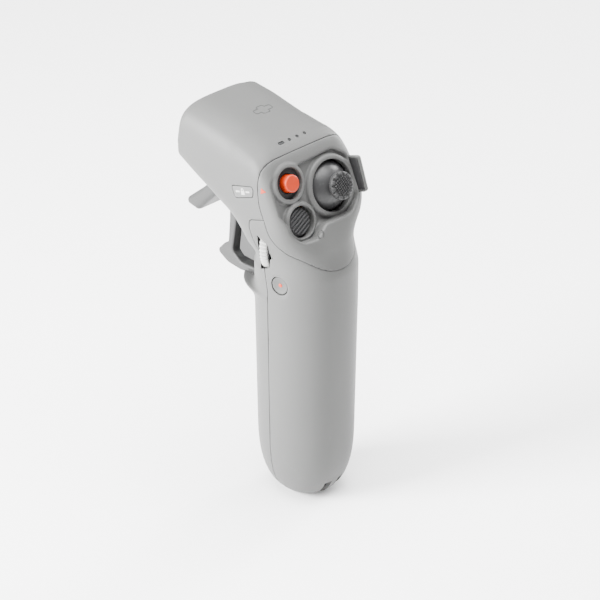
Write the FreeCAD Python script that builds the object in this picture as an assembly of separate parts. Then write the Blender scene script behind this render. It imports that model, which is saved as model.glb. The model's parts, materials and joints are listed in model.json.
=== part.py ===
import FreeCAD, Part
import math
import os
from FreeCAD import Vector

# A pistol-grip motion controller for a small drone.
# Millimetres. +Z runs up the grip, +Y forward along the barrel, +X to the pilot's right.
# The origin is the middle of the flat spot that the grip stands on.

os.makedirs("parts", exist_ok=True)

# ---- Driving dimensions -------------------------------------------------------------------
AROUND = 48                # points round each section of the body
WALL = 2.0                 # moulded wall of the casings
SEAM = 0.12                # open joint between two casings
RUN = 0.05                 # radial running clearance of a pin in its bore

GRIP_BACK, GRIP_FRONT, GRIP_HALF = 20.9, 20.6, 18.9    # reach of the grip's oval behind, ahead, aside
GRIP_POWER = 2.15          # exponent of the grip's superellipse (2 is an ellipse)
GRIP_DOME = 34.0           # height of the rounded bottom
GRIP_TAPER = 0.035         # how much narrower the grip is at its foot

ELBOW_Y, ELBOW_Z = 30.0, 104.0        # the line that the elbow's sections turn about
PITCH = 10.8               # the barrel points up by this angle
SWING = 90.0 - PITCH       # angle through which the sections turn
BARREL_RUN = 26.4          # straight length of the barrel beyond the elbow
NOSE_RUN = 3.0             # how far the nose cap stands beyond the barrel

# Elbow and barrel sections: station, reach of the back, reach of the front, left half width,
# right half width, exponent of the back half, exponent of the front half.
# Elbow stations are degrees, barrel stations are millimetres beyond the elbow.
ELBOW = [
    (0.0, 50.9, 9.4, 18.9, 18.9, 2.15, 2.15),
    (2.5, 50.88, 9.42, 18.89, 18.88, 2.15, 2.15),
    (7.0, 50.2, 10.3, 18.6, 18.4, 2.2, 2.2),
    (11.5, 49.2, 11.3, 18.5, 17.9, 2.35, 2.3),
    (16.0, 47.9, 12.4, 18.6, 18.0, 2.7, 2.4),
    (20.5, 47.1, 13.4, 19.2, 19.8, 3.3, 2.5),
    (26.0, 46.8, 14.4, 20.2, 23.0, 4.2, 2.7),
    (32.0, 47.2, 15.2, 21.0, 25.0, 5.0, 3.0),
    (45.0, 49.4, 16.6, 21.8, 25.0, 6.0, 3.4),
    (55.0, 53.2, 17.5, 22.0, 24.1, 6.2, 3.8),
    (60.0, 55.0, 17.8, 22.0, 23.3, 6.0, 3.9),
    (64.0, 55.6, 18.0, 21.9, 22.5, 5.6, 4.0),
    (70.0, 55.4, 18.3, 21.8, 21.7, 4.6, 4.0),
    (SWING, 55.0, 18.8, 21.6, 21.1, 3.9, 4.0),
]
BARREL = [
    (8.0, 54.9, 21.0, 21.6, 20.9, 3.8, 3.9),
    (16.0, 54.6, 23.2, 21.6, 20.8, 3.8, 3.9),
    (BARREL_RUN, 53.6, 26.2, 21.5, 20.6, 3.6, 3.7),
]
NOSE = [
    (0.0, 52.4, 27.4, 20.2, 19.4, 3.5, 3.5),
    (1.7, 52.2, 27.8, 20.0, 19.2, 3.4, 3.4),
    (2.6, 51.4, 28.8, 19.0, 18.2, 3.3, 3.3),
    (NOSE_RUN, 49.8, 30.4, 17.4, 16.6, 3.1, 3.1),
]

# The thumb face: a plane tilted back, with its own right (u), up (v) and outward (w) directions.
FACE_TILT = math.radians(20.0)
FACE_AT = Vector(0, -4.9, 135.6)
FACE_U = Vector(1, 0, 0)
FACE_V = Vector(0, math.sin(FACE_TILT), math.cos(FACE_TILT))
FACE_W = Vector(0, -math.cos(FACE_TILT), math.sin(FACE_TILT))

STICK_AT, LOCK_AT, MODE_AT = (9.5, 0.0), (-10.5, 7.6), (-9.3, -8.1)
STICK_OPEN, STICK_RING = 10.1, 12.3
LOCK_OPEN, LOCK_RING, LOCK_CAP = 6.1, 7.9, 3.4
MODE_OPEN, MODE_RING, MODE_CAP = 6.2, 7.8, 5.6
STICK_PIVOT = -9.0         # the gimbal's centre, below the rings' plane
DOME_RADIUS = 11.4

RECORD_AT = Vector(-18.45, -4.1, 101.9)
RECORD_OUT = Vector(-0.983, -0.181, 0)
RECORD_CAP, RECORD_DISH = 3.6, 4.9
RECORD_SUNK = 0.5          # the record button's face lies this far under the grip's surface

POWER_AT = Vector(22.1, 15.0, 139.0)
POWER_OUT = Vector(1, 0, 0)

DIAL_AT = Vector(-9.9, 7.9, 115.5)
DIAL_AXIS = Vector(0.454, -0.891, 0)
DIAL_RADIUS, DIAL_WIDTH, DIAL_AXLE = 12.0, 4.0, 1.0
DIAL_RIBS = 44

TRIGGER_Y, TRIGGER_Z = 30.0, 136.0     # the trigger's pivot
TRIGGER_HALF = 8.0
PADDLE_HALF = 10.0
PIVOT_PIN = 1.5

POWER_CAP = 3.4

# The finger shelf: an oval about (0, SHELF_Y) that widens upwards by its slope.
SHELF_Y, SHELF_HALF, SHELF_REACH = 8.0, 18.5, 21.0
SHELF_LOW, SHELF_TOP, SHELF_SLOPE = 82.0, 93.4, 0.045

# Outlines: the dish and the guard on the thumb face (u, v, corner radius), the lock button's
# label on the left side (y, z, corner radius).
DISH_OUTLINE = [(-19.4, 13, 5), (-19.4, -3, 5), (-14, -16.4, 5), (-6, -16.6, 4), (0, -12.4, 4),
                (14, -12.8, 5), (20.6, -8, 5), (20.6, 9, 5), (14, 14, 5)]
GUARD_OUTLINE = [(20.8, -6.8, 0.4), (23.3, -6.8, 1.2), (23.3, 8.0, 1.2), (20.8, 8.0, 0.4)]
LABEL_OUTLINE = [(18.2, 138.3, 0.8), (6.0, 142.3, 1.2), (6.3, 137.8, 1.2), (16.2, 133.8, 1.2)]

BOARD = 1.2                # thickness of the main circuit boards
BOARD_REACH = 47.0         # the head board's underside above the elbow's line

LIGHT_X = (-5.2, -1.7, 2.3, 6.2)       # the status lights, the first one a dash
LIGHT_RUN = -12.7                      # their station along the barrel

CELL_AT, CELL_RADIUS, CELL_LOW, CELL_HIGH = Vector(0, 3.4, 0), 9.1, 24.0, 88.6
USB_Y, USB_HALF, USB_THICK = 5.0, 4.47, 1.63           # a standard USB-C receptacle's shell
LUG_AT, LUG_HOLE, LUG_HALF = Vector(0, -12.0, 6.0), 1.5, 1.6

# The trigger's outlines in (y, z, corner radius).
LEVER = [(34.4, 127, 0), (35.2, 112.3, 9), (36.2, 101.2, 1.6), (38.9, 99.2, 2), (42.9, 94.8, 1.6),
         (37.0, 91.5, 8), (29.3, 91.0, 9), (16.4, 93.0, 0.6), (16.4, 95.6, 0.6), (28.8, 94.7, 3),
         (33.7, 98.2, 2.4), (31.3, 112, 9), (30.6, 127, 0)]
PADDLE = [(34.4, 134.0, 0.6), (34.4, 126.8, 0.6), (41.6, 120.2, 9), (51.9, 109.4, 2.2),
          (58.0, 110.4, 2.2), (58.6, 112.9, 1.6), (47.9, 122.0, 30), (40.0, 131.2, 3)]
BLOCK = [(16.4, 97.8, 0.5), (27.6, 97.8, 2.0), (30.4, 100.2, 1.2), (28.9, 111.0, 8), (27.9, 121.0, 0.5),
         (19.6, 124.0, 0.5), (16.4, 118, 0.5)]

# The joints between the casings, in (y, z) for the panel and (y, z, corner radius) for the side.
PANEL_SEAM = [(3.4, 172), (3.0, 156), (3.9, 145), (3.0, 136), (0.8, 129.6), (-2.0, 122.8),
              (-7.3, 117.6), (-13.7, 113.9), (-21, 108.2), (-34, 99)]
SIDE_SEAM = [(-60, -6, 0), (-60, 135, 0), (-4, 131.6, 0), (8.2, 127.4, 1.6), (9.0, 124.2, 3),
             (4.2, 108, 20), (2.0, 97, 20), (2.0, -6, 0)]


# ---- Helpers ------------------------------------------------------------------------------
def save(name, shape):
    """Write one node."""
    solids = shape.Solids
    if not solids or not all(s.isValid() for s in solids):
        raise ValueError(name + " is not a valid closed solid")
    out = solids[0] if len(solids) == 1 else Part.makeCompound(solids)
    out.exportStep("parts/" + name + ".step")
    print(name, len(solids), round(out.Volume / 1000.0, 3), "cm3")


def face_point(u, v, w=0.0):
    """A point of the thumb face's own frame."""
    return FACE_AT + FACE_U * u + FACE_V * v + FACE_W * w


def face_box(u, v, w, du, dv, dw):
    """A box centred on (u, v), from w to w + dw, square to the thumb face."""
    box = Part.makeBox(du, dv, dw, Vector(-du / 2, -dv / 2, w))
    turn = FreeCAD.Rotation(Vector(1, 0, 0), math.degrees(math.pi / 2 - FACE_TILT))
    box.Placement = FreeCAD.Placement(face_point(u, v), turn)
    return box


def face_rod(at, radius, low, high):
    """A cylinder square to the thumb face, from height low to height high."""
    return Part.makeCylinder(radius, high - low, face_point(at[0], at[1], low), FACE_W)


def rod(radius, start, end):
    """A cylinder from one point to another."""
    return Part.makeCylinder(radius, (end - start).Length, start, end - start)


def prism(corners, x_low, x_high):
    """A prism along X over an outline of (y, z, corner radius) points."""
    count = len(corners)
    points = [Vector(0, y, z) for y, z, r in corners]
    ends = []
    for i in range(count):
        here, r = points[i], corners[i][2]
        back = points[i - 1] - here
        ahead = points[(i + 1) % count] - here
        room = 0.48 * min(back.Length, ahead.Length)
        back.normalize()
        ahead.normalize()
        half = back.getAngle(ahead) / 2
        reach = min(r / math.tan(half), room)
        if reach < 0.02:
            ends.append((here, here, None))
            continue
        r = reach * math.tan(half)
        top = here + (back + ahead).normalize() * (r / math.sin(half) - r)
        ends.append((here + back * reach, here + ahead * reach, top))
    edges = []
    for i in range(count):
        first, last, top = ends[i]
        if top is not None:
            edges.append(Part.Arc(first, top, last).toShape())
        following = ends[(i + 1) % count][0]
        if (following - last).Length > 1e-6:
            edges.append(Part.LineSegment(last, following).toShape())
    face = Part.Face(Part.Wire(edges))
    face.translate(Vector(x_low, 0, 0))
    return face.extrude(Vector(x_high - x_low, 0, 0))


def curve_prism(curve, closing, half):
    """A prism along X over a smooth curve of (y, z) points closed by straight lines."""
    spline = Part.BSplineCurve()
    spline.interpolate([Vector(-half, y, z) for y, z in curve])
    corners = [curve[-1]] + closing + [curve[0]]
    lines = [Part.LineSegment(Vector(-half, a[0], a[1]), Vector(-half, b[0], b[1])).toShape()
             for a, b in zip(corners[:-1], corners[1:])]
    face = Part.Face(Part.Wire([spline.toShape()] + lines))
    return face.extrude(Vector(2 * half, 0, 0))


def prism_on_face(corners, low, high):
    """A prism square to the thumb face over an outline of (u, v, corner radius) points."""
    solid = prism([(u, v, r) for u, v, r in corners], low, high)
    matrix = FreeCAD.Matrix()
    for column, axis in enumerate((FACE_W, FACE_U, FACE_V)):
        for row, value in enumerate((axis.x, axis.y, axis.z)):
            setattr(matrix, "A%d%d" % (row + 1, column + 1), value)
    matrix.A14, matrix.A24, matrix.A34 = FACE_AT.x, FACE_AT.y, FACE_AT.z
    solid.transformShape(matrix)
    return solid


def moved(shape, x, y, z):
    other = shape.copy()
    other.translate(Vector(x, y, z))
    return other


def mirrored(shape):
    return shape.mirror(Vector(0, 0, 0), Vector(1, 0, 0))


# ---- The body's skin ----------------------------------------------------------------------
def blend(rows, station):
    """The row of a section table at a station, on smooth curves through the rows."""
    at = [row[0] for row in rows]
    last = len(at) - 2
    i = min(last, max(k for k in range(last + 1) if k == 0 or at[k] <= station))
    step = [at[k + 1] - at[k] for k in range(last + 1)]
    t = (station - at[i]) / step[i]
    values = []
    for column in range(1, len(rows[0])):
        y = [row[column] for row in rows]
        rise = [(y[k + 1] - y[k]) / step[k] for k in range(last + 1)]

        def slope(k):
            if k == 0 or k == last + 1:
                return rise[min(k, last)]
            return (rise[k - 1] * step[k] + rise[k] * step[k - 1]) / (step[k - 1] + step[k])

        values.append((2 * t ** 3 - 3 * t ** 2 + 1) * y[i] + (3 * t ** 2 - 2 * t ** 3) * y[i + 1]
                      + (t ** 3 - 2 * t ** 2 + t) * step[i] * slope(i)
                      + (t ** 3 - t ** 2) * step[i] * slope(i + 1))
    return values


def section(back, front, left, right, back_power, front_power, at, direction, inset):
    """Points round one cross-section: a superellipse with its own reach and exponent on each
    side. The section's plane holds X and the direction given, which points to the back."""
    middle, half = (back + front) / 2, (back - front) / 2 - inset
    points = []
    for i in range(AROUND):
        angle = 2 * math.pi * i / AROUND
        c, s = math.cos(angle), math.sin(angle)
        power = back_power if s > 0 else front_power
        width = (right if c > 0 else left) - inset
        x = math.copysign(width * abs(c) ** (2 / power), c)
        reach = middle + math.copysign(half * abs(s) ** (2 / power), s)
        points.append(Vector(x, at[0] + direction[0] * reach, at[1] + direction[1] * reach))
    return points


def grip_section(z, inset):
    """The grip's section at a height, narrowing into the bottom dome."""
    share = min(1.0, 0.03 + 0.97 * z / GRIP_DOME)
    dome = (1 - (1 - share) ** 2.8) ** (1 / 2.9)
    taper = 1 - GRIP_TAPER + GRIP_TAPER * max(0.0, min(1.0, (z - 30) / 60))
    scale = dome * taper
    half = GRIP_HALF * scale
    return section(GRIP_BACK * scale, -GRIP_FRONT * scale, half, half,
                   GRIP_POWER, GRIP_POWER, (0, z), (-1, 0), inset)


def elbow_section(degrees, inset):
    angle = math.radians(degrees)
    return section(*blend(ELBOW, degrees), (ELBOW_Y, ELBOW_Z),
                   (-math.cos(angle), math.sin(angle)), inset)


def barrel_at(run, reach):
    """The (y, z) of a point at a station along the barrel and a reach above the elbow's line."""
    tilt = math.radians(PITCH)
    return (ELBOW_Y + run * math.cos(tilt) - reach * math.sin(tilt),
            ELBOW_Z + run * math.sin(tilt) + reach * math.cos(tilt))


def barrel_section(rows, run, beyond, inset):
    tilt = math.radians(PITCH)
    return section(*blend(rows, run), barrel_at(run + beyond, 0.0),
                   (-math.sin(tilt), math.cos(tilt)), inset)


def skin(rows):
    """A closed solid whose side is a smooth surface controlled by rows of points."""
    across = len(rows)
    surface = Part.BSplineSurface()
    surface.buildFromPolesMultsKnots(
        rows, [4] + [1] * (across - 4) + [4], [1] * (AROUND + 1),
        list(range(across - 2)), list(range(AROUND + 1)), False, True, 3, 3)
    side = surface.toShape()
    rims = [e for e in side.Edges if e.isClosed()]
    caps = [Part.Face(Part.Wire([rim])) for rim in rims]
    closed = Part.makeShell([side] + caps)
    closed.sewShape()
    solid = Part.Solid(closed)
    if solid.Volume < 0:
        solid.reverse()
    return solid


def body(inset, foot, beyond):
    """The whole body as one solid, set in by a wall and starting at the foot's height."""
    dome = [foot + (GRIP_DOME - foot) * (1 - math.cos(math.pi / 2 * k / 12)) for k in range(13)]
    heights = dome + [GRIP_DOME + (ELBOW_Z - GRIP_DOME) * k / 12 for k in range(1, 12)]
    rows = [grip_section(z, inset) for z in heights]
    rows += [elbow_section(SWING * k / 34, inset) for k in range(35)]
    table = [(0.0,) + ELBOW[-1][1:]] + BARREL
    rows += [barrel_section(table, BARREL_RUN * k / 8, 0.0, inset) for k in range(1, 9)]
    if beyond > 0:
        rows.append(barrel_section(table, BARREL_RUN, beyond, inset))
    return skin(rows)


def barrel_box(x_low, x_high, run_low, run_high, reach_low, reach_high):
    """A box square to the barrel's axis."""
    box = Part.makeBox(x_high - x_low, run_high - run_low, reach_high - reach_low)
    y, z = barrel_at(run_low, reach_low)
    box.Placement = FreeCAD.Placement(Vector(x_low, y, z), FreeCAD.Rotation(Vector(1, 0, 0), PITCH))
    return box


def barrel_rod(x, run, reach_low, reach_high, radius):
    """A cylinder square to the barrel's top."""
    return rod(radius, Vector(x, *barrel_at(run, reach_low)), Vector(x, *barrel_at(run, reach_high)))


def finger_shelf():
    """The pointed ledge under the trigger: an oval cone, wide at its top."""
    low, high = SHELF_LOW, SHELF_TOP
    share = 1 - SHELF_SLOPE * (high - low)
    cone = Part.makeCone(share, 1.0, high - low)
    matrix = FreeCAD.Matrix()
    matrix.scale(SHELF_HALF, SHELF_REACH, 1)
    shelf = cone.transformGeometry(matrix)
    shelf.translate(Vector(0, SHELF_Y, low))
    return shelf.cut(Part.makeBox(60, 60, 30, Vector(-30, -59.4, low - 5)))


# ---- Casings ------------------------------------------------------------------------------
outer = body(0.0, 0.0, 0.0)
inner = body(WALL, WALL + 0.4, 2.0)
panel_side = curve_prism(PANEL_SEAM, [(-60, 106), (-60, 172)], 40)
back_side = prism(SIDE_SEAM, -40, 40)


def front_casing():
    """Barrel and front of the grip in one moulding, with a finger shelf under the trigger."""
    casing = outer.fuse(finger_shelf()).cut(inner)
    casing = casing.cut(moved(panel_side, 0, SEAM, -SEAM)).cut(moved(back_side, 0, SEAM, SEAM))
    slot = prism([(12, 90.4, 0), (36.5, 90.4, 0), (38.6, 96, 0), (38.6, 134, 0), (30, 130.4, 0),
                  (18.6, 125.6, 0), (12, 119.5, 0)], -TRIGGER_HALF - 0.6, TRIGGER_HALF + 0.6)
    paddle_slot = prism([(32.0, 115, 0), (44.2, 126, 0), (44.2, 137, 2), (32.0, 129.4, 0)],
                        -PADDLE_HALF - 0.6, PADDLE_HALF + 0.6)
    casing = casing.cut(slot).cut(paddle_slot)
    for x in LIGHT_X:
        casing = casing.cut(light_pipe(x, 0.1, 51, 60))
    hole = rod(POWER_CAP + 0.3, POWER_AT - POWER_OUT * 6, POWER_AT + POWER_OUT * 3)
    plate = prism(LABEL_OUTLINE, -24, -19.6)
    casing = casing.cut(hole).cut(plate).cut(usb_profile(0.2, -1, 4))
    return casing.cut(dial_slot())


def back_casing():
    """Back of the grip, with the record button's dish, the dial's slot and the lanyard recess."""
    casing = outer.cut(inner).common(back_side).cut(moved(panel_side, 0, SEAM, -SEAM))
    dish = rod(RECORD_DISH, RECORD_AT - RECORD_OUT * 0.3, RECORD_AT + RECORD_OUT * 3)
    bore = rod(RECORD_CAP + 0.3, RECORD_AT - RECORD_OUT * 4, RECORD_AT + RECORD_OUT * 3)
    recess = Part.makeBox(13.3, 11.8, 12.3, Vector(-6.65, -19.3, -1.2))
    return casing.cut(dish).cut(bore).cut(dial_slot()).cut(recess)


def thumb_panel():
    """The face for the thumb: a dished plate with a raised ring round each control."""
    skin_part = outer.cut(inner).common(panel_side)
    dish = prism_on_face(DISH_OUTLINE, -1.7, 8)
    backing = prism_on_face([(-21.0, 15, 5), (-21.0, -3, 5), (-15.0, -19.4, 4), (-4, -19, 4),
                             (1, -14.5, 4), (15, -14.5, 5), (22.0, -9, 5), (22.0, 10.5, 5),
                             (15, 15.5, 5)], -3.6, -1.7)
    panel = skin_part.cut(dish).fuse(backing.common(body(WALL - 0.3, WALL, 2.0)).common(panel_side))
    rings = ((STICK_AT, STICK_RING, STICK_OPEN), (LOCK_AT, LOCK_RING, LOCK_OPEN),
             (MODE_AT, MODE_RING, MODE_OPEN))
    for at, ring, hole in rings:
        panel = panel.fuse(face_rod(at, ring, -3.2, 0.0))
    for at, ring, hole in rings:
        panel = panel.cut(face_rod(at, hole, -8.0, 6.0))
    panel = panel.cut(face_rod(STICK_AT, 11.8, -9.0, -2.6))
    return panel.cut(prism_on_face(GUARD_OUTLINE, -3.4, 8))


def nose_cap():
    """The barrel's front cover, hollow behind."""
    rows = [barrel_section(NOSE, NOSE_RUN * k / 8, BARREL_RUN + SEAM, 0.0) for k in range(9)]
    hollow = [barrel_section(NOSE, (NOSE_RUN - 1.4) * k / 8, BARREL_RUN + SEAM - 0.05, 1.8)
              for k in range(9)]
    return skin(rows).cut(skin(hollow))


def joystick_guard():
    """The upright lip on the right of the stick."""
    (left, low, r), (right, high, big) = GUARD_OUTLINE[0], GUARD_OUTLINE[2]
    lip = prism_on_face([(left + 0.1, low + 0.1, r), (right, low + 0.1, big), (right, high - 0.1, big),
                         (left + 0.1, high - 0.1, r)], -2.4, 4.4)
    pocket = prism_on_face([(19, low + 1, 0), (left + 0.7, low + 1, 0), (left + 0.7, high - 1, 0),
                            (19, high - 1, 0)], -1.0, 3.8)
    return lip.cut(pocket)


def guard_pad():
    """The dark soft pad on the guard's inner side."""
    (left, low, r), (right, high, big) = GUARD_OUTLINE[0], GUARD_OUTLINE[2]
    return prism_on_face([(left + 0.2, low + 1.1, 0.2), (left + 0.7, low + 1.1, 0.2),
                          (left + 0.7, high - 1.1, 0.2), (left + 0.2, high - 1.1, 0.2)], -0.9, 3.7)


def label_plate():
    inside = [(y, z - 0.1 if z > 138 else z + 0.1, r) for y, z, r in LABEL_OUTLINE]
    plate = prism([(y + (0.1 if y < 10 else -0.1), z, r) for y, z, r in inside], -24, -19.8)
    return plate.common(body(-0.12, 0.0, 0.0))


def lock_pointer():
    """The small arrow on the panel that points at the lock button."""
    arrow = prism([(0.0, 142.0, 0), (2.4, 143.3, 0), (2.1, 140.6, 0)], -24, -20.2)
    return arrow.common(body(-0.1, 0.0, 0.0)).cut(outer)


# ---- Status lights ------------------------------------------------------------------------
def light_pipe(x, gap, low, high):
    """A light pipe up through the barrel's top: a dash for the first light, dots for the rest."""
    radius = 0.6 + gap
    pipe = barrel_rod(x, LIGHT_RUN, low, high, radius)
    if x == LIGHT_X[0]:
        other = barrel_rod(x - 1.6, LIGHT_RUN, low, high, radius)
        bridge = barrel_box(x - 1.6, x, LIGHT_RUN - radius, LIGHT_RUN + radius, low, high)
        pipe = pipe.fuse(other).fuse(bridge)
    return pipe


def status_light_guide():
    guide = barrel_box(-9.4, 8.4, LIGHT_RUN - 1.6, LIGHT_RUN + 1.6, 49.2, 50.4)
    for x in LIGHT_X:
        guide = guide.fuse(light_pipe(x, 0.0, 50.2, 60).common(body(0.1, 0.0, 0.0)))
    return guide


def status_leds():
    return Part.makeCompound([barrel_box(x - 0.8, x + 0.8, LIGHT_RUN - 0.5, LIGHT_RUN + 0.5,
                                         BOARD_REACH + BOARD, BOARD_REACH + BOARD + 0.7)
                              for x in LIGHT_X])


def head_board():
    return barrel_box(-16.0, 16.0, -17.0, 15.0, BOARD_REACH, BOARD_REACH + BOARD)


def radio_can():
    """The radio's tin screen under the head board."""
    return barrel_box(-9.0, 9.0, -4.0, 12.0, BOARD_REACH - 2.4, BOARD_REACH)


def antenna(side):
    plate = barrel_box(17.0, 17.8, 0.0, 19.0, 36.0, 47.5)
    return plate if side > 0 else mirrored(plate)


def buzzer():
    start = Vector(0, *barrel_at(17.0, 38.0))
    return rod(5.5, start, Vector(0, *barrel_at(20.4, 38.0)))


# ---- Thumb controls -----------------------------------------------------------------------
def switch_body(at, low, high):
    """A push switch under a button, bored for its plunger."""
    return face_box(at[0], at[1], low, 6.0, 6.0, high - low).cut(face_rod(at, 1.3, high - 2.8, high + 1))


def button_plunger(at, low, high):
    return face_rod(at, 1.0, low, high)


def lock_button():
    cap = face_rod(LOCK_AT, LOCK_CAP, -3.6, 1.5)
    rim = [e for e in cap.Edges if (e.CenterOfMass - face_point(*LOCK_AT, 1.5)).Length < 1e-3]
    return cap.makeFillet(0.5, rim).fuse(face_rod(LOCK_AT, 4.6, -4.4, -3.6))


def lock_collar():
    return face_rod(LOCK_AT, LOCK_OPEN - 0.1, -3.2, -1.7).cut(face_rod(LOCK_AT, LOCK_CAP + 0.3, -4, 0))


def mode_button():
    """A recessed cap with raised ribs running aslant."""
    cap = face_rod(MODE_AT, MODE_CAP, -4.4, -1.9)
    bars = []
    for k in range(-3, 4):
        bar = Part.makeBox(12, 0.7, 0.7, Vector(-6, k * 1.45 - 0.35, -2.1))
        bar.rotate(Vector(0, 0, 0), Vector(0, 0, 1), 25)
        turn = FreeCAD.Rotation(Vector(1, 0, 0), 90 - math.degrees(FACE_TILT))
        bar.Placement = FreeCAD.Placement(face_point(*MODE_AT), turn).multiply(bar.Placement)
        bars.append(bar)
    return cap.fuse(Part.makeCompound(bars).common(face_rod(MODE_AT, MODE_CAP - 0.3, -2.1, -1.2)))


def button_board():
    return face_box(-9.9, -0.5, -10.4, 12.4, 25.0, 1.0)


def joystick_base():
    """The gimbal's housing, open towards the thumb, with a bearing in each side wall."""
    box = face_box(*STICK_AT, -14.6, 14.0, 14.0, 8.0).cut(face_box(*STICK_AT, -13.0, 11.4, 11.4, 8))
    low = face_point(STICK_AT[0] - 8, STICK_AT[1], STICK_PIVOT)
    return box.cut(rod(0.8 + RUN, low, low + FACE_U * 16))


def joystick_yoke():
    """The gimbal's frame, on pins along u, bored along v for the stick's own pin."""
    frame = face_box(*STICK_AT, STICK_PIVOT - 1.1, 9.8, 9.8, 2.2).cut(
        face_box(*STICK_AT, STICK_PIVOT - 2, 6.8, 6.8, 4))
    pivot = face_point(*STICK_AT, STICK_PIVOT)
    for side in (-1, 1):
        frame = frame.fuse(rod(0.8, pivot + FACE_U * (4.8 * side), pivot + FACE_U * (6.7 * side)))
    return frame.cut(rod(0.7 + RUN, pivot - FACE_V * 6, pivot + FACE_V * 6))


def stick_shaft():
    pivot = face_point(*STICK_AT, STICK_PIVOT)
    shaft = face_rod(STICK_AT, 1.4, -11.4, 3.5).fuse(Part.makeSphere(2.5, pivot))
    return shaft.fuse(rod(0.7, pivot - FACE_V * 4.7, pivot + FACE_V * 4.7))


def stick_dome():
    """The dust dome, a shell centred on the pivot so that it slides past the ring."""
    pivot = face_point(*STICK_AT, STICK_PIVOT)
    dome = Part.makeSphere(DOME_RADIUS, pivot).cut(Part.makeSphere(DOME_RADIUS - 0.8, pivot))
    return dome.common(face_rod(STICK_AT, 14, STICK_PIVOT + 6.2, 6)).cut(face_rod(STICK_AT, 1.45, -9, 9))


def stick_cap():
    """The thumb cap, with a crown of small teeth round a hollow."""
    cap = face_rod(STICK_AT, 5.6, 3.3, 6.0).cut(face_rod(STICK_AT, 4.3, 5.3, 7))
    rim = [e for e in cap.Edges if (e.CenterOfMass - face_point(*STICK_AT, 3.3)).Length < 1e-3]
    cap = cap.makeFillet(1.0, rim).cut(face_rod(STICK_AT, 1.4, 3.0, 3.5))
    notches = []
    for k in range(12):
        angle = 2 * math.pi * k / 12
        notches.append(rod(0.45, face_point(STICK_AT[0] + 3.9 * math.cos(angle),
                                            STICK_AT[1] + 3.9 * math.sin(angle), 5.9),
                           face_point(STICK_AT[0] + 6.2 * math.cos(angle),
                                      STICK_AT[1] + 6.2 * math.sin(angle), 5.9)))
    return cap.cut(Part.makeCompound(notches))


def joystick_sensor(along_u):
    """One of the stick's two angle sensors, on the housing's side."""
    if along_u:
        return face_box(STICK_AT[0] + 8.2, STICK_AT[1], -12.6, 2.4, 7.0, 5.6)
    return face_box(STICK_AT[0], STICK_AT[1] + 8.2, -12.6, 7.0, 2.4, 5.6)


def joystick_board():
    return face_box(STICK_AT[0], STICK_AT[1] - 1.5, -15.7, 17.0, 13.0, 1.0)


# ---- Side buttons -------------------------------------------------------------------------
def side_button(at, out, radius, proud):
    """A round side button: cap with a retaining flange inside the wall."""
    cap = rod(radius, at - out * 3.2, at + out * proud)
    return cap.fuse(rod(radius + 0.9, at - out * 4.0, at - out * 3.2))


def side_switch(at, out, high):
    """A push switch behind a side button, bored for the plunger, its top at a depth."""
    box = Part.makeBox(5.0, 5.0, 3.4, Vector(-2.5, -2.5, -3.4))
    box.Placement = FreeCAD.Placement(at - out * high, FreeCAD.Rotation(Vector(0, 0, 1), out))
    return box.cut(rod(1.1, at - out * (high + 2.5), at - out * (high - 1)))


def side_board(at, out, high):
    box = Part.makeBox(7.0, 7.0, 1.0, Vector(-3.5, -3.5, -1.0))
    box.Placement = FreeCAD.Placement(at - out * high, FreeCAD.Rotation(Vector(0, 0, 1), out))
    return box


def side_plunger(at, out):
    return rod(0.8, at - out * 6.0, at - out * 4.0)


def record_dot():
    """The orange mark let into the record button."""
    return rod(0.8, RECORD_AT - RECORD_OUT * (RECORD_SUNK + 0.4), RECORD_AT - RECORD_OUT * RECORD_SUNK)


# ---- Dial ---------------------------------------------------------------------------------
def dial_disc(radius, low, high):
    return Part.makeCylinder(radius, high - low, DIAL_AT + DIAL_AXIS * low, DIAL_AXIS)


def dial_slot():
    """The slot in the casings for the dial, with room beside it for the thumb."""
    slot = dial_disc(DIAL_RADIUS + 0.6, -DIAL_WIDTH / 2 - 0.4, DIAL_WIDTH / 2 + 0.4)
    return slot.fuse(dial_disc(DIAL_RADIUS - 1.0, DIAL_WIDTH / 2 + 0.3, DIAL_WIDTH / 2 + 2.4))


def dial_tyre():
    """The ribbed rim that the thumb rolls."""
    tyre = dial_disc(DIAL_RADIUS - 0.25, -1.6, 1.6).cut(dial_disc(9.4, -3, 3))
    across = DIAL_AXIS.cross(Vector(0, 0, 1))
    ribs = []
    for k in range(DIAL_RIBS):
        angle = 2 * math.pi * k / DIAL_RIBS
        out = across * math.cos(angle) + Vector(0, 0, 1) * math.sin(angle)
        foot = DIAL_AT + out * (DIAL_RADIUS - 0.42)
        ribs.append(rod(0.42, foot - DIAL_AXIS * 1.6, foot + DIAL_AXIS * 1.6))
    return tyre.fuse(ribs)


def dial_hub():
    """The dial's dark core, on its axle."""
    core = dial_disc(9.4, -1.8, 1.8).fuse(dial_disc(10.8, 1.6, 2.0)).fuse(dial_disc(10.8, -2.0, -1.6))
    return core.cut(dial_disc(DIAL_AXLE + RUN, -4, 4))


def dial_axle():
    return dial_disc(DIAL_AXLE, -5.4, 3.6)


def dial_bracket():
    """Two ears that carry the axle, joined under the dial."""
    far = dial_disc(3.2, 2.5, 3.6)
    near = dial_disc(3.2, -3.6, -2.5)
    return far.fuse(near).cut(dial_disc(DIAL_AXLE, -9, 9))


def dial_encoder():
    return dial_disc(3.8, -5.6, -3.7).cut(dial_disc(DIAL_AXLE + 0.02, -9, 9))


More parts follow.
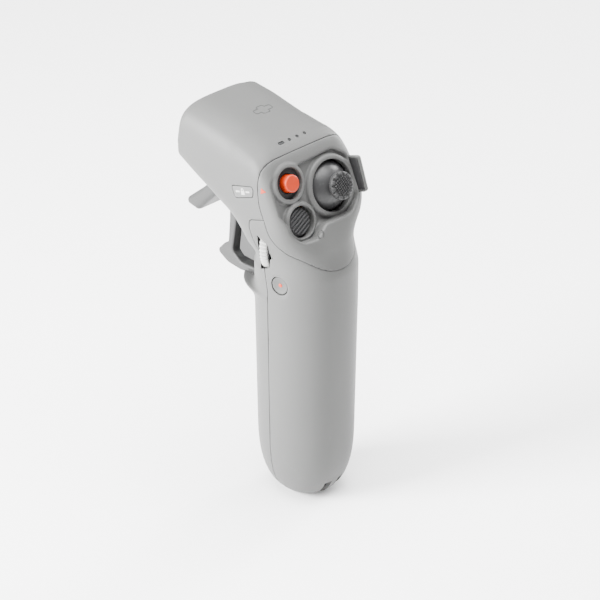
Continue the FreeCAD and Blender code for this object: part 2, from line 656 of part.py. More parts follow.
# ---- Trigger ------------------------------------------------------------------------------
def trigger_lever():
    """The finger lever: an L-shaped loop hanging from a hub on the pivot pin."""
    pivot = Vector(0, TRIGGER_Y, TRIGGER_Z)
    lever = prism(LEVER, -TRIGGER_HALF, TRIGGER_HALF)
    neck = prism([(30.6, 126.8, 0), (34.4, 126.8, 0), (34.4, 137, 0), (27.0, 137, 0)], -6.5, 6.5)
    hub = rod(4.2, pivot - Vector(6.5, 0, 0), pivot + Vector(6.5, 0, 0))
    lever = lever.fuse(neck).fuse(hub)
    return lever.cut(rod(PIVOT_PIN + RUN, pivot - Vector(9, 0, 0), pivot + Vector(9, 0, 0)))


def push_paddle():
    """The blade ahead of the finger, pushed outward to fly back."""
    return prism(PADDLE, -PADDLE_HALF, PADDLE_HALF).cut(
        rod(4.6, Vector(-12, TRIGGER_Y, TRIGGER_Z), Vector(12, TRIGGER_Y, TRIGGER_Z)))


def trigger_bracket():
    """The fixed block inside the trigger's loop, with ears for the pivot pin."""
    block = prism(BLOCK, -7.4, 7.4)
    plate = Part.makeBox(24.4, 2.0, 16.6, Vector(-12.2, 17.6, 125.0))
    neck = Part.makeBox(14.8, 2.0, 9.0, Vector(-7.4, 17.6, 117.0))
    bracket = block.fuse(plate).fuse(neck)
    for x in (-12.2, 10.9):
        ear = prism([(17.6, 130, 0), (17.6, 141.6, 0), (34.0, 140.6, 3), (34.0, 131, 3)], x, x + 1.3)
        bracket = bracket.fuse(ear)
    pivot = Vector(0, TRIGGER_Y, TRIGGER_Z)
    return bracket.cut(rod(PIVOT_PIN, pivot - Vector(20, 0, 0), pivot + Vector(20, 0, 0)))


def trigger_pin():
    pivot = Vector(0, TRIGGER_Y, TRIGGER_Z)
    return rod(PIVOT_PIN, pivot - Vector(12.2, 0, 0), pivot + Vector(12.2, 0, 0))


def trigger_spring():
    """The centring spring's coils on the pin, beside the hub."""
    turns = [Part.makeTorus(2.5, 0.4, Vector(x, TRIGGER_Y, TRIGGER_Z), Vector(1, 0, 0))
             for x in (7.3, 8.2, 9.1, 10.0)]
    return Part.makeCompound(turns)


def trigger_magnet():
    return Part.makeBox(4.0, 4.0, 2.4, Vector(-2, 28, TRIGGER_Z + 4.2))


def trigger_sensor():
    """The board that reads the magnet, with its chip underneath."""
    board = Part.makeBox(14, 12, 1.0, Vector(-7, 24, 146.0))
    return board.fuse(Part.makeBox(4, 4, 1.0, Vector(-2, 28, 145.0)))


# ---- Grip internals -----------------------------------------------------------------------
def battery_cell():
    cell = Part.makeCylinder(CELL_RADIUS, CELL_HIGH - CELL_LOW - 1.2, CELL_AT + Vector(0, 0, CELL_LOW))
    return cell.fuse(Part.makeCylinder(2.6, 1.2, CELL_AT + Vector(0, 0, CELL_HIGH - 1.2)))


def battery_cradle():
    low, high = CELL_LOW - 2.0, CELL_HIGH + 1.6
    at = CELL_AT + Vector(0, 0, low)
    cradle = Part.makeCylinder(CELL_RADIUS + 1.5, high - low, at)
    cradle = cradle.cut(Part.makeCylinder(CELL_RADIUS + 0.2, CELL_HIGH - CELL_LOW + 0.6,
                                          CELL_AT + Vector(0, 0, CELL_LOW - 0.3)))
    return cradle.cut(Part.makeBox(30, 20, 100, Vector(-15, 4.6, 10)))


def battery_contacts():
    """The cell's two sprung end plates."""
    low = Part.makeBox(8, 8, 0.25, Vector(-4, -0.6, CELL_LOW - 0.28))
    high = Part.makeBox(8, 8, 0.25, Vector(-4, -0.6, CELL_HIGH + 0.02))
    return Part.makeCompound([low, high])


def main_board():
    return Part.makeBox(22, BOARD, 73, Vector(-11, -12.4, 27))


def ribbon_cable():
    """The flat cable from the grip's board up to the head's board."""
    path = [(-10.8, 99.0), (-9.6, 108.0), (-2.0, 121.0), (8.2, 133.0), (8.2, 146.6)]
    back = [(y - 0.35, z + 0.12) for y, z in path]
    outline = [(y, z, 0) for y, z in path] + [(y, z, 0) for y, z in reversed(back)]
    return prism(outline, -2.6, 0.6)


# ---- Foot ---------------------------------------------------------------------------------
def usb_profile(grow, low, high):
    """A stadium prism round the charging socket, upright."""
    x, y = USB_HALF + grow, USB_THICK + grow
    middle = Part.makeBox(2 * (x - y), 2 * y, high - low, Vector(-(x - y), USB_Y - y, low))
    ends = [Part.makeCylinder(y, high - low, Vector(side * (x - y), USB_Y, low)) for side in (-1, 1)]
    return middle.fuse(ends)


def usb_socket():
    return usb_profile(0.0, 0.5, 7.8).cut(usb_profile(-0.3, 0.0, 7.4))


def usb_board():
    return Part.makeBox(13, 1.0, 15, Vector(-6.5, USB_Y + USB_THICK, 4.6))


def lanyard_lug():
    """A pocket in the grip's back edge, crossed by a web with a hole for a wrist strap."""
    block = Part.makeBox(13.0, 11.5, 11.0, Vector(-6.5, -19.2, 0)).common(body(0.05, 0.0, 0.0))
    for x in (-5.0, LUG_HALF):
        block = block.cut(Part.makeBox(5.0 - LUG_HALF, 11, 9.8, Vector(x, -20.3, -0.4)))
    return block.cut(rod(LUG_HOLE, LUG_AT - Vector(5, 0, 0), LUG_AT + Vector(5, 0, 0)))


# ---- Output -------------------------------------------------------------------------------
save("front_casing", front_casing())
save("back_casing", back_casing())
save("thumb_panel", thumb_panel())
save("nose_cap", nose_cap())
save("joystick_guard", joystick_guard())
save("guard_pad", guard_pad())
save("lock_label_plate", label_plate())
save("lock_pointer", lock_pointer())
save("status_light_guide", status_light_guide())
save("status_leds", status_leds())
save("head_board", head_board())
save("radio_can", radio_can())
save("antenna_left", antenna(-1))
save("antenna_right", antenna(1))
save("buzzer", buzzer())

save("lock_button", lock_button())
save("lock_plunger", button_plunger(LOCK_AT, -7.0, -4.4))
save("lock_collar", lock_collar())
save("lock_switch", switch_body(LOCK_AT, -9.3, -5.9))
save("mode_button", mode_button())
save("mode_plunger", button_plunger(MODE_AT, -7.0, -4.4))
save("mode_switch", switch_body(MODE_AT, -9.3, -5.9))
save("button_board", button_board())

save("joystick_base", joystick_base())
save("joystick_yoke", joystick_yoke())
save("stick_shaft", stick_shaft())
save("stick_dome", stick_dome())
save("stick_cap", stick_cap())
save("joystick_sensor_u", joystick_sensor(True))
save("joystick_sensor_v", joystick_sensor(False))
save("joystick_board", joystick_board())

save("record_button", side_button(RECORD_AT, RECORD_OUT, RECORD_CAP, -RECORD_SUNK).cut(record_dot()))
save("record_dot", record_dot())
save("record_plunger", side_plunger(RECORD_AT, RECORD_OUT))
save("record_switch", side_switch(RECORD_AT, RECORD_OUT, 4.9))
save("record_board", side_board(RECORD_AT, RECORD_OUT, 8.32))
save("power_button", side_button(POWER_AT, POWER_OUT, POWER_CAP, 0.3))
save("power_plunger", side_plunger(POWER_AT, POWER_OUT))
save("power_switch", side_switch(POWER_AT, POWER_OUT, 4.9))
save("power_board", side_board(POWER_AT, POWER_OUT, 8.32))

save("dial_tyre", dial_tyre())
save("dial_hub", dial_hub())
save("dial_axle", dial_axle())
save("dial_bracket", dial_bracket())
save("dial_encoder", dial_encoder())

save("trigger_lever", trigger_lever())
save("push_paddle", push_paddle())
save("trigger_magnet", trigger_magnet())
save("trigger_bracket", trigger_bracket())
save("trigger_pin", trigger_pin())
save("trigger_spring", trigger_spring())
save("trigger_sensor", trigger_sensor())

save("battery_cell", battery_cell())
save("battery_cradle", battery_cradle())
save("battery_contacts", battery_contacts())
save("main_board", main_board())
save("ribbon_cable", ribbon_cable())
save("usb_socket", usb_socket())
save("usb_board", usb_board())
save("lanyard_lug", lanyard_lug())
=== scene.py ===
import json
import math
import bpy
import numpy as np
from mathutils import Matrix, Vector


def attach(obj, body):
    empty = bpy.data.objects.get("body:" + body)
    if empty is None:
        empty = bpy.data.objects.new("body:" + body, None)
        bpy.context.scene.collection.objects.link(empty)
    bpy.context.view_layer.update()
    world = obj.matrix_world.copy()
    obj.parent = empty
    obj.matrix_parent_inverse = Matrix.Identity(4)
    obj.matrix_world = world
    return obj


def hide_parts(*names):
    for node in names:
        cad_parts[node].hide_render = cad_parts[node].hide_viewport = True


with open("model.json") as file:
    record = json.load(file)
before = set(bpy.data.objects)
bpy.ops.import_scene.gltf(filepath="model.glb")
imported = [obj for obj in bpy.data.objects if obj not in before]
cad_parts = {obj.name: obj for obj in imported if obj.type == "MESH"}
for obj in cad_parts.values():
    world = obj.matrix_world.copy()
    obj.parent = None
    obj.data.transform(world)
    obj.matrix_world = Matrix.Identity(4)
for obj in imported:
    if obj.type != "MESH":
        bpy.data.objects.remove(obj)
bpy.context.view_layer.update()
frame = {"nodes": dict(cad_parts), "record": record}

# The looks of a pistol-grip motion controller. Shapes are worked out here in millimetres, in the
# CAD frame, as distance fields: negative inside a solid, positive outside. Each field becomes one
# mesh by dual contouring, which keeps smooth blends smooth and cut edges sharp.

# ---- Driving dimensions, as in the CAD -------------------------------------------------------
GRIP_BACK, GRIP_FRONT, GRIP_HALF = 20.9, 20.6, 18.9
GRIP_POWER, GRIP_DOME, GRIP_TAPER = 2.15, 34.0, 0.035
ELBOW_Y, ELBOW_Z = 30.0, 104.0
PITCH = math.radians(10.8)
SWING = 79.2
BARREL_RUN, NOSE_RUN = 26.4, 3.0
WALL = 2.0
KEY_GAP = 0.3              # round each key in its hole
SEAM = 0.11                # each casing's edge stands this far back from the joint's line
SKIN = 0.12                # the skin lies this far inside the sections, within the CAD box

# Sections: station, reach of the back, reach of the front, left half width, right half width,
# exponent of the back half, exponent of the front half. Elbow stations are degrees.
ELBOW = [
    (0.0, 50.9, 9.4, 18.9, 18.9, 2.15, 2.15),
    (2.5, 50.88, 9.42, 18.89, 18.88, 2.15, 2.15),
    (7.0, 50.2, 10.3, 18.6, 18.4, 2.2, 2.2),
    (11.5, 49.2, 11.3, 18.5, 17.9, 2.35, 2.3),
    (16.0, 47.9, 12.4, 18.6, 18.0, 2.7, 2.4),
    (20.5, 47.1, 13.4, 19.2, 19.8, 3.3, 2.5),
    (26.0, 46.8, 14.4, 20.2, 23.0, 4.2, 2.7),
    (32.0, 47.2, 15.2, 21.0, 25.0, 5.0, 3.0),
    (45.0, 49.4, 16.6, 21.8, 25.0, 6.0, 3.4),
    (55.0, 53.2, 17.5, 22.0, 24.1, 6.2, 3.8),
    (60.0, 55.0, 17.8, 22.0, 23.3, 6.0, 3.9),
    (64.0, 55.6, 18.0, 21.9, 22.5, 5.6, 4.0),
    (70.0, 55.4, 18.3, 21.8, 21.7, 4.6, 4.0),
    (SWING, 55.0, 18.8, 21.6, 21.1, 3.9, 4.0),
]
BARREL = [
    (0.0, 55.0, 18.8, 21.6, 21.1, 3.9, 4.0),
    (8.0, 54.9, 21.0, 21.6, 20.9, 3.8, 3.9),
    (16.0, 54.6, 23.2, 21.6, 20.8, 3.8, 3.9),
    (BARREL_RUN, 53.6, 26.2, 21.5, 20.6, 3.6, 3.7),
]
NOSE = [(0.0, 52.4, 27.4, 20.2, 19.4, 3.5, 3.5), (NOSE_RUN, 52.3, 27.5, 20.1, 19.3, 3.5, 3.5)]

FACE_TILT = math.radians(20.0)
FACE_AT = np.array([0.0, -4.9, 135.6])
FACE_U = np.array([1.0, 0.0, 0.0])
FACE_V = np.array([0.0, math.sin(FACE_TILT), math.cos(FACE_TILT)])
FACE_W = np.array([0.0, -math.cos(FACE_TILT), math.sin(FACE_TILT)])
STICK_AT, LOCK_AT, MODE_AT = (9.5, 0.0), (-10.5, 7.6), (-9.3, -8.1)
STICK_OPEN, STICK_RING = 10.1, 12.3
LOCK_OPEN, LOCK_RING = 6.1, 7.9
MODE_OPEN, MODE_RING, MODE_CAP = 6.2, 7.8, 5.6
STICK_PIVOT, DOME_RADIUS, DISH_DEPTH = -9.0, 11.4, 2.1
RECORD_AT, RECORD_OUT = np.array([-18.45, -4.1, 101.9]), np.array([-0.9835, -0.1811, 0.0])
RECORD_CAP, SCOOP_OUT, SCOOP_RADIUS = 3.6, 17.0, 17.5
POWER_AT, POWER_OUT, POWER_CAP = np.array([22.1, 15.0, 139.0]), np.array([1.0, 0.0, 0.0]), 3.4
DIAL_AT, DIAL_AXIS = np.array([-9.9, 7.9, 115.5]), np.array([0.454, -0.891, 0.0])
DIAL_RADIUS, DIAL_RIBS = 12.0, 44
TRIGGER_HALF, PADDLE_HALF = 8.0, 10.0
PIVOT_Y, PIVOT_Z = 30.0, 136.0
LIGHT_X, LIGHT_RUN, LIGHT_REACH = (-5.2, -1.7, 2.3, 6.2), -12.7, 54.1
SHELF_Y, SHELF_HALF, SHELF_REACH = 8.0, 18.5, 21.0
SHELF_LOW, SHELF_TOP, SHELF_SLOPE = 82.0, 93.4, 0.045
USB_Y, USB_HALF, USB_THICK = 5.0, 4.47, 1.63

# Outlines as (a, b, corner radius) points.
DISH = [(-19.4, 13, 5), (-19.4, -3, 5), (-14.0, -16.0, 5), (-6, -16.4, 4), (0, -12.4, 4),
        (14, -12.8, 5), (20.6, -8, 5), (20.6, 9, 5), (14, 14, 5)]
GUARD = [(20.9, -6.7, 0.4), (23.3, -6.7, 1.2), (23.3, 7.9, 1.2), (20.9, 7.9, 0.4)]
LABEL = [(18.2, 138.3, 0.8), (6.0, 142.3, 1.2), (6.3, 137.8, 1.2), (16.2, 133.8, 1.2)]
LEVER = [(34.4, 137, 3), (35.2, 112.3, 9), (36.2, 101.2, 1.6), (38.9, 99.2, 2), (42.9, 94.8, 1.6),
         (37.0, 91.5, 8), (29.3, 91.0, 9), (16.4, 93.0, 0.6), (16.4, 95.6, 0.6), (28.8, 94.7, 3),
         (33.7, 98.2, 2.4), (31.3, 112, 9), (30.6, 127, 5), (27.0, 137, 2)]
PADDLE = [(34.4, 134.0, 0.6), (34.4, 126.8, 0.6), (41.6, 120.2, 9), (51.9, 109.4, 2.2),
          (58.0, 110.4, 2.2), (58.6, 112.9, 1.6), (47.9, 122.0, 30), (40.0, 131.2, 3)]
BLOCK = [(16.4, 97.8, 0.5), (27.6, 97.8, 2.0), (30.4, 100.2, 1.2), (28.9, 111.0, 8),
         (27.9, 121.0, 0.5), (19.6, 124.0, 0.5), (16.4, 118, 0.5)]
SLOT = [(12, 90.4, 0), (36.5, 90.4, 0), (38.6, 96, 0), (38.6, 134, 0), (30, 130.4, 0),
        (18.6, 125.6, 0), (12, 119.5, 0)]
PADDLE_SLOT = [(32.0, 115, 0), (44.2, 126, 0), (44.2, 137, 2), (32.0, 129.4, 0)]
PANEL_SEAM = [(3.4, 172), (3.0, 156), (3.9, 145), (3.0, 136), (0.8, 129.6), (-2.0, 122.8),
              (-7.3, 117.6), (-13.7, 113.9), (-21, 108.2), (-34, 99)]
SIDE_SEAM = [(-60, -6, 0), (-60, 135, 0), (-4, 131.6, 0), (8.2, 127.4, 1.6), (9.0, 124.2, 3),
             (4.2, 108, 20), (2.0, 97, 20), (2.0, -6, 0)]


# ---- Distance fields -------------------------------------------------------------------------
def smooth_max(a, b, k):
    """The larger of two fields, with the crease between them rounded over a width k."""
    return np.maximum(a, b) + np.maximum(k - np.abs(a - b), 0.0) ** 2 / (4 * k)


def smooth_min(a, b, k):
    return -smooth_max(-a, -b, k)


def rounded(corners, steps=6):
    """The points of a closed outline with its corners rounded."""
    at = np.array([c[:2] for c in corners], float)
    points = []
    for i, (here, r) in enumerate(zip(at, [c[2] for c in corners])):
        back, ahead = at[i - 1] - here, at[(i + 1) % len(at)] - here
        room = 0.48 * min(np.hypot(*back), np.hypot(*ahead))
        back, ahead = back / np.hypot(*back), ahead / np.hypot(*ahead)
        half = math.acos(max(-1.0, min(1.0, float(back @ ahead)))) / 2
        reach = min(r / math.tan(half), room)
        if reach < 0.02:
            points.append(here)
            continue
        r = reach * math.tan(half)
        centre = here + (back + ahead) / np.hypot(*(back + ahead)) * (r / math.sin(half))
        first, last = here + back * reach - centre, here + ahead * reach - centre
        for t in np.linspace(0, 1, steps):
            spoke = first * (1 - t) + last * t
            points.append(centre + spoke / np.hypot(*spoke) * r)
    return np.array(points)


def flat_distance(points, a, b):
    """Signed distance in a plane to a closed outline, negative inside."""
    best, inside = np.full(a.shape, 1e9), np.zeros(a.shape, bool)
    for (a0, b0), (a1, b1) in zip(points, np.roll(points, -1, axis=0)):
        da, db = a1 - a0, b1 - b0
        t = np.clip(((a - a0) * da + (b - b0) * db) / max(da * da + db * db, 1e-12), 0, 1)
        best = np.minimum(best, (a - a0 - t * da) ** 2 + (b - b0 - t * db) ** 2)
        if abs(db) > 1e-9:
            inside ^= ((b0 > b) != (b1 > b)) & (a < a0 + da * (b - b0) / db)
    return np.where(inside, -1, 1) * np.sqrt(best)


def chart(points, low, high, step=0.2):
    """A quick reader of flat_distance, by bilinear interpolation in a grid made once."""
    rows = np.arange(low[0], high[0] + step, step)
    columns = np.arange(low[1], high[1] + step, step)
    grid = flat_distance(points, *np.meshgrid(rows, columns, indexing="ij"))

    def read(a, b):
        i = np.clip((a - low[0]) / step, 0, len(rows) - 1.001)
        j = np.clip((b - low[1]) / step, 0, len(columns) - 1.001)
        i0, j0 = i.astype(int), j.astype(int)
        s, t = i - i0, j - j0
        return (grid[i0, j0] * (1 - s) * (1 - t) + grid[i0 + 1, j0] * s * (1 - t)
                + grid[i0, j0 + 1] * (1 - s) * t + grid[i0 + 1, j0 + 1] * s * t)
    return read


def smooth_curve(points, steps=10):
    """Points along a smooth curve through the given ones."""
    p = np.array(points, float)
    p = np.vstack([2 * p[0] - p[1], p, 2 * p[-1] - p[-2]])
    out = []
    for a, b, c, d in zip(p[:-3], p[1:-2], p[2:-1], p[3:]):
        for t in np.arange(steps) / steps:
            out.append(b + 0.5 * t * (c - a + t * (2 * a - 5 * b + 4 * c - d
                                                   + t * (3 * (b - c) + d - a))))
    return np.array(out + [p[-2]])


def table_at(rows, station):
    """The rows of a section table at many stations, on smooth curves through the rows."""
    rows = np.array(rows, float)
    at, y = rows[:, 0], rows[:, 1:]
    step = np.diff(at)[:, None]
    rise = np.diff(y, axis=0) / step
    slope = np.vstack([rise[:1], (rise[:-1] * step[1:] + rise[1:] * step[:-1])
                       / (step[1:] + step[:-1]), rise[-1:]])
    i = np.clip(np.searchsorted(at, station, side="right") - 1, 0, len(at) - 2)
    t = np.clip((station - at[i]) / step[i, 0], 0, 1)[:, None]
    return ((2 * t ** 3 - 3 * t ** 2 + 1) * y[i] + (3 * t ** 2 - 2 * t ** 3) * y[i + 1]
            + (t ** 3 - 2 * t ** 2 + t) * step[i] * slope[i]
            + (t ** 3 - t ** 2) * step[i] * slope[i + 1]).T


def section_level(x, reach, rows):
    """How far out a point is in its section: 1 on the skin."""
    back, front, left, right, back_power, front_power = rows
    ahead = reach - (back + front) / 2
    power = np.where(ahead > 0, back_power, front_power)
    u = np.abs(x) / np.where(x > 0, right, left) + 1e-9
    v = np.abs(ahead) / ((back - front) / 2) + 1e-9
    return (u ** power + v ** power) ** (1 / power)


def body_level(p):
    x, y, z = p
    share = np.clip(0.03 + 0.97 * z / GRIP_DOME, 0.004, 1.0)
    scale = (1 - (1 - share) ** 2.8) ** (1 / 2.9)
    scale = scale * (1 - GRIP_TAPER + GRIP_TAPER * np.clip((z - 30) / 60, 0, 1))
    power = np.full_like(x, GRIP_POWER)
    level = section_level(x, -y, (GRIP_BACK * scale, -GRIP_FRONT * scale, GRIP_HALF * scale,
                                  GRIP_HALF * scale, power, power))
    dy, dz = y - ELBOW_Y, z - ELBOW_Z
    run, rise = along_barrel(y, z)
    bend = (dz >= 0) & (run < 0)
    angle = np.degrees(np.arctan2(dz[bend], -dy[bend]))
    level[bend] = section_level(x[bend], np.hypot(dy[bend], dz[bend]), table_at(ELBOW, angle))
    ahead = (dz >= 0) & (run >= 0)
    level[ahead] = section_level(x[ahead], rise[ahead], table_at(BARREL, run[ahead]))
    return level


def along_barrel(y, z):
    """Station along the barrel and reach above the elbow's line."""
    dy, dz = y - ELBOW_Y, z - ELBOW_Z
    return (dy * math.cos(PITCH) + dz * math.sin(PITCH),
            dz * math.cos(PITCH) - dy * math.sin(PITCH))


def skin_distance(p):
    """Distance to the body's skin, from how fast the level changes there."""
    level = body_level(p)
    slope = np.zeros_like(level)
    for axis in range(3):
        q = p.copy()
        q[axis] += 0.05
        slope += ((body_level(q) - level) / 0.05) ** 2
    return np.clip((level - 1) / np.sqrt(slope + 1e-9), -12, 40) + SKIN


def face_frame(p):
    """Thumb-face coordinates of points."""
    y, z = p[1] - FACE_AT[1], p[2] - FACE_AT[2]
    return p[0], y * FACE_V[1] + z * FACE_V[2], y * FACE_W[1] + z * FACE_W[2]


def face_point(u, v, w):
    return FACE_AT + FACE_U * u + FACE_V * v + FACE_W * w


def about(p, at, axis):
    """Distance from an axis and height along it."""
    d = p - np.array(at)[:, None]
    height = axis @ d
    return np.sqrt(np.maximum((d * d).sum(axis=0) - height ** 2, 0)), height


def pad(a, low, high):
    """A slab between two levels of a coordinate."""
    return np.abs(a - (low + high) / 2) - (high - low) / 2


def barrel_point(x, run, reach):
    return np.array([x, ELBOW_Y + run * math.cos(PITCH) - reach * math.sin(PITCH),
                     ELBOW_Z + run * math.sin(PITCH) + reach * math.cos(PITCH)])


BARREL_UP = np.array([0.0, -math.sin(PITCH), math.cos(PITCH)])

panel_outline = np.vstack([smooth_curve(PANEL_SEAM), [(-60, 106), (-60, 172)]])
panel_side = chart(panel_outline, (-40, -12), (70, 176))
back_side = chart(rounded(SIDE_SEAM), (-40, -12), (70, 176))
dish_side = chart(rounded(DISH), (-30, -30), (30, 30))
slot_side = chart(rounded(SLOT), (0, 80), (60, 150))
paddle_slot_side = chart(rounded(PADDLE_SLOT), (0, 80), (70, 150))
label_side = chart(rounded(LABEL), (0, 125), (30, 150), 0.1)
guard_side = chart(rounded(GUARD), (10, -20), (30, 20), 0.1)
lever_line, paddle_line, block_line = rounded(LEVER), rounded(PADDLE), rounded(BLOCK)


def dial_room(p):
    """The dial's slot, with a scoop beside it for the thumb."""
    off, height = about(p, DIAL_AT, DIAL_AXIS)
    slot = smooth_max(off - DIAL_RADIUS - 0.9, pad(height, -2.4, 2.4), 0.3)
    scoop = smooth_max(off - DIAL_RADIUS + 0.6, pad(height, 2.3, 4.6), 1.0)
    return np.minimum(slot, scoop)


def front_casing(p):
    x, y, z = p
    skin = skin_distance(p)
    share = 1 - SHELF_SLOPE * (SHELF_TOP - z)
    shelf = (np.hypot(x / SHELF_HALF, (y - SHELF_Y) / SHELF_REACH) - share) * 18.0 + SKIN
    shelf = smooth_max(shelf, pad(z, SHELF_LOW, SHELF_TOP), 1.4)
    solid = smooth_min(skin, np.maximum(shelf, 0.6 - y), 2.0)
    solid = smooth_max(solid, 0.03 - z, 0.8)
    run, rise = along_barrel(y, z)
    solid = smooth_max(solid, np.where(z > 110, run - BARREL_RUN, -9.0), 0.5)
    solid = np.maximum(solid, -(skin + WALL))
    slot = np.maximum(slot_side(y, z), np.abs(x) - TRIGGER_HALF - 0.6)
    blade = np.maximum(paddle_slot_side(y, z), np.abs(x) - PADDLE_HALF - 0.6)
    solid = smooth_max(solid, -np.minimum(slot, blade), 0.7)
    solid = smooth_max(solid, -dial_room(p), 0.3)
    off, height = about(p, POWER_AT, POWER_OUT)
    solid = smooth_max(solid, -np.maximum(off - POWER_CAP - KEY_GAP, -height - 6), 0.4)
    label = np.maximum(label_side(y, z), x + 19.6)
    solid = smooth_max(solid, -(label - 0.15), 0.25)
    usb = np.maximum(np.hypot(np.maximum(np.abs(x) - USB_HALF + USB_THICK, 0), y - USB_Y)
                     - USB_THICK - 0.2, z - 4)
    solid = smooth_max(solid, -usb, 0.3)
    for at in LIGHT_X:
        dash = 1.6 if at == LIGHT_X[0] else 0.0
        off = np.hypot(np.clip(at - x, 0, dash) - (at - x), run - LIGHT_RUN)
        solid = smooth_max(solid, -np.maximum(off - 0.7, 40 - rise), 0.15)
    solid = smooth_max(solid, SEAM - panel_side(y, z), 0.3)
    return smooth_max(solid, SEAM - back_side(y, z), 0.3)


def back_casing(p):
    x, y, z = p
    skin = skin_distance(p)
    solid = np.maximum(smooth_max(skin, -z, 0.8), -(skin + WALL))
    off, height = about(p, RECORD_AT + RECORD_OUT * SCOOP_OUT, RECORD_OUT)
    solid = smooth_max(solid, SCOOP_RADIUS - np.hypot(off, height), 0.6)
    off, height = about(p, RECORD_AT, RECORD_OUT)
    solid = smooth_max(solid, -np.maximum(off - RECORD_CAP - KEY_GAP, -height - 5), 0.3)
    solid = smooth_max(solid, -dial_room(p), 0.3)
    recess = np.maximum(np.maximum(np.abs(x) - 6.6, pad(y, -19.3, -7.5)), pad(z, -1.2, 11.1))
    solid = smooth_max(solid, -recess, 0.2)
    solid = smooth_max(solid, SEAM - panel_side(y, z), 0.3)
    return smooth_max(solid, SEAM + back_side(y, z), 0.3)


def thumb_panel(p):
    x, y, z = p
    u, v, w = face_frame(p)
    skin = skin_distance(p)
    moat = np.hypot(u - MODE_AT[0], v - MODE_AT[1]) - MODE_RING - 0.3
    dish = smooth_max(np.minimum(dish_side(u, v), moat) + 0.6, -DISH_DEPTH - w, 1.4)
    solid = smooth_max(skin, -dish, 1.3)
    for at, ring in ((STICK_AT, STICK_RING), (LOCK_AT, LOCK_RING), (MODE_AT, MODE_RING)):
        off = np.hypot(u - at[0], v - at[1])
        crater = smooth_max(w + 0.1, (off - ring + 0.3 + 0.22 * w) * 0.97, 1.4)
        crater = np.maximum(crater, -4.4 - w)
        solid = smooth_min(solid, crater, 0.8)
    solid = np.maximum(solid, -np.maximum(skin + WALL, w + 4.3))
    for at, hole in ((STICK_AT, STICK_OPEN), (LOCK_AT, LOCK_OPEN), (MODE_AT, MODE_OPEN)):
        off = np.hypot(u - at[0], v - at[1])
        solid = smooth_max(solid, hole - off, 0.5)
    off = np.hypot(u - STICK_AT[0], v - STICK_AT[1])
    solid = np.maximum(solid, -np.maximum(off - 11.8, w + 2.6))
    guard = np.maximum(guard_side(u, v), -3.4 - w)
    solid = smooth_max(solid, 0.12 - guard, 0.3)
    return smooth_max(solid, SEAM + panel_side(y, z), 0.3)


def nose_cap(p):
    x, y, z = p
    run, rise = along_barrel(y, z)
    run = run - BARREL_RUN - 0.12
    rows = table_at(NOSE, run)
    level = section_level(x, rise, rows)
    side = (level - 1) * 14.0
    solid = smooth_max(side, run - NOSE_RUN, 2.6)
    return np.maximum(np.maximum(solid, -run), -np.maximum(side + 2.0, run - NOSE_RUN + 1.5))


def joystick_guard(p):
    u, v, w = face_frame(p)
    side = guard_side(u, v)
    lip = smooth_max(side, pad(w, -2.4, 4.35), 1.5)
    pocket = np.maximum(np.maximum(pad(v, -5.8, 7.0), pad(w, -1.0, 3.8)), u - 21.5)
    return smooth_max(lip, -pocket, 0.3)


def guard_pad(p):
    u, v, w = face_frame(p)
    face = smooth_max(pad(v, -5.7, 6.9), pad(w, -0.9, 3.7), 0.6)
    return smooth_max(face, pad(u, 21.0, 21.45), 0.3)


def lock_label(p):
    x, y, z = p
    plate = smooth_max(label_side(y, z) + 0.12, pad(x, -24, -19.8), 0.1)
    return smooth_max(plate, skin_distance(p) - 0.1, 0.2)


def lock_icon(p):
    """A small padlock between two bars, standing off the label."""
    dy, dz = p[1] - 11.8, p[2] - 138.1
    a, b = -dy * 0.95 + dz * 0.31, dz * 0.95 + dy * 0.31
    shackle = np.abs(np.hypot(a, np.maximum(b - 0.6, 0)) - 0.6) - 0.2
    shackle = np.maximum(shackle, -b)
    lock = np.minimum(np.maximum(np.abs(a) - 1.0, np.abs(b + 0.45) - 0.75), shackle)
    bars = np.maximum(np.abs(np.abs(a) - 2.9) - 1.1, np.abs(b) - 0.32)
    return smooth_max(np.minimum(lock, bars), np.abs(skin_distance(p) - 0.1) - 0.06, 0.05)


def lock_pointer(p):
    a, b = p[1] - 1.5, p[2] - 142.0
    arrow = np.maximum(a - 0.65, np.abs(b) * 0.88 - a * 0.48 - 0.75)
    return smooth_max(arrow, np.abs(skin_distance(p)) - 0.1, 0.1)


def top_mark(p):
    """A generic outline of two crossed bars, raised a hair above the barrel's top."""
    run, rise = along_barrel(p[1], p[2])
    a, b = np.abs(p[0] - 2.5), np.abs(run - 6.8)
    wide = np.hypot(np.maximum(a - 3.6, 0), np.maximum(b - 0.5, 0)) - 0.7
    tall = np.hypot(np.maximum(a - 1.0, 0), np.maximum(b - 1.7, 0)) - 0.7
    line = np.abs(np.minimum(wide, tall)) - 0.17
    return smooth_max(line, np.abs(skin_distance(p)) - 0.07, 0.05)


def mode_symbol(p):
    """Two short arcs beside the mode key."""
    u, v, _ = face_frame(p)
    a, b = u + 4.6, v + 14.6
    arcs = np.abs(np.hypot(a, b) - 1.5) - 0.16
    return smooth_max(np.maximum(arcs, 0.6 - np.abs(a)), np.abs(skin_distance(p)) - 0.07, 0.05)


def mode_button(p):
    u, v, w = face_frame(p)
    u, v = u - MODE_AT[0], v - MODE_AT[1]
    cap = smooth_max(np.hypot(u, v) - MODE_CAP, pad(w, -4.4, -1.95), 0.7)
    across = v * math.cos(math.radians(25)) - u * math.sin(math.radians(25))
    bar = smooth_max(np.abs((across + 0.725) % 1.45 - 0.725) - 0.36, pad(w, -2.4, -1.35), 0.3)
    bars = smooth_max(bar, np.hypot(u, v) - MODE_CAP + 0.7, 0.3)
    return smooth_min(cap, bars, 0.2)


